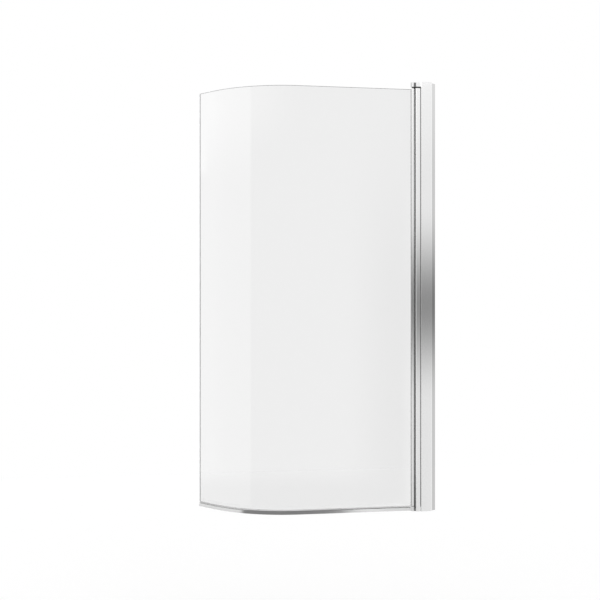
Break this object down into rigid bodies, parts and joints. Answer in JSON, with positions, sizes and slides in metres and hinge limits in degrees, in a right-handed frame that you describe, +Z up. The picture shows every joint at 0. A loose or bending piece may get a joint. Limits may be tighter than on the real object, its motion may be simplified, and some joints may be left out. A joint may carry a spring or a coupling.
{
  "type": "bath screen",
  "caption": "Curved glass bath screen that pivots on a chromed wall profile with a sliding expander, end blocks and a bottom wiper seal.",
  "frame": {"origin": "on the wall plane, in the middle plane of the flat glass, at half the height of the wall profile", "axes": "+X into the wall, +Z up along the wall profile, -Y towards the room and +Y towards the bather"},
  "size_m": [0.7588, 0.2021, 1.4],
  "materials": {
    "chromed_profile": "bright chrome-like anodised extrusion",
    "chromed_cap": "chrome-plated moulding",
    "stainless_steel": "plain stainless",
    "grey_plastic": "moulded, matt",
    "black_nylon": "moulded nylon",
    "black_rubber": "extruded, matt",
    "grey_rubber": "extruded, matt",
    "clear_glass": "toughened, clear, with ground edges",
    "clear_vinyl": "clear extruded vinyl",
    "soft_vinyl": "soft translucent vinyl"
  },
  "bodies": {
    "wall_mount": {"wall_profile": "chromed_profile", "wall_profile_top_plug": "grey_plastic", "wall_profile_bottom_plug": "grey_plastic", "leg_edge_seals": "black_rubber"},
    "pivot_post": {"expander_profile": "chromed_profile", "hinge_seal": "grey_rubber", "top_pivot_block": "chromed_cap", "bottom_pivot_block": "chromed_cap", "top_block_packing": "black_rubber", "top_block_screws": "stainless_steel", "bottom_block_screws": "stainless_steel", "top_pivot_pin": "stainless_steel", "bottom_pivot_pin": "stainless_steel", "clamp_screws": "stainless_steel", "clamp_washers": "grey_plastic", "clamp_screw_caps": "chromed_cap"},
    "screen": {"glass_panel": "clear_glass", "glass_profile": "chromed_profile", "glazing_gasket": "black_rubber", "channel_top_plug": "grey_plastic", "top_pivot_bush": "black_nylon", "bottom_pivot_bush": "black_nylon", "bottom_seal_clip": "clear_vinyl", "bottom_seal_wiper": "soft_vinyl"}
  },
  "joints": [
    {"name": "width_adjustment", "type": "slide", "parent": "wall_mount", "child": "pivot_post", "axis": [-1, 0, 0], "range_m": [-0.008, 0.008]},
    {"name": "screen_pivot", "type": "hinge", "parent": "pivot_post", "child": "screen", "pos_m": [-0.07225, 0, 0], "axis": [0, 0, 1], "range_deg": [-75, 90]}
  ]
}
